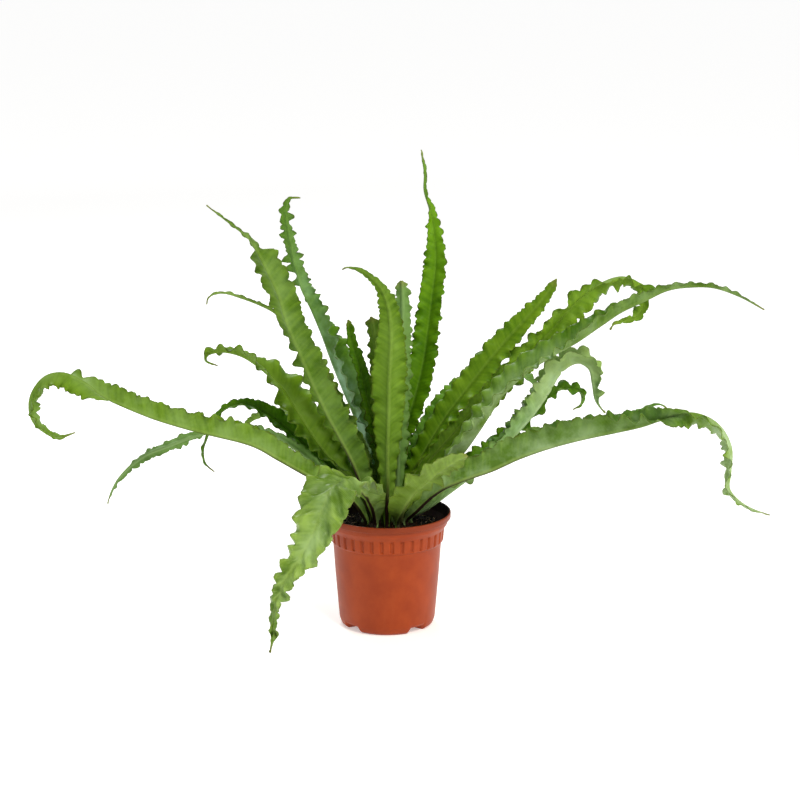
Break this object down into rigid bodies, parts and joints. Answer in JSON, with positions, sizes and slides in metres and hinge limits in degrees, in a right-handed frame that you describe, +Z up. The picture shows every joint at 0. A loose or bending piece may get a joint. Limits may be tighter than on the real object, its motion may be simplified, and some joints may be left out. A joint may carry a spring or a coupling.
{
  "type": "potted fern",
  "caption": "Strap-leaved fern in a terracotta-coloured nursery pot: long waved green fronds rise in a rosette and arch out to both sides.",
  "frame": {"origin": "centre of the pot's underside, on the floor plane", "axes": "+Z up the pot's axis, +X to the picture's right, -Y towards the picture's viewer"},
  "size_m": [0.8453, 0.4914, 0.5552],
  "materials": {
    "pot": "satin",
    "soil": "matte",
    "crown": "matte",
    "frond_young": "satin",
    "frond_green": "satin",
    "frond_deep": "satin",
    "frond_pale": "satin"
  },
  "bodies": {
    "root": {"pot": "pot", "soil": "soil", "crown": "crown", "frondLeftLong": "frond_green", "frondLeftLow": "frond_pale", "frondLeftBehind": "frond_deep", "frondLeftArch": "frond_green", "frondLeftTail": "frond_green", "frondLeftBroad": "frond_green", "frondLeftTall": "frond_deep", "frondFrontHang": "frond_young", "frondFrontRight": "frond_young", "frondCentreFront": "frond_green", "frondCentreTall": "frond_deep", "frondCentreRight": "frond_pale", "frondCentreLeft": "frond_green", "frondCentreShort": "frond_deep", "frondRightLong": "frond_green", "frondRightHigh": "frond_green", "frondRightBroad": "frond_green", "frondRightCurly": "frond_green", "frondRightArch": "frond_pale", "frondRightCurl": "frond_deep", "frondRightBehind": "frond_deep", "frondBackArch": "frond_green", "frondBackLow": "frond_green", "frondBackRight": "frond_deep", "frondBackTall": "frond_deep"}
  },
  "joints": []
}
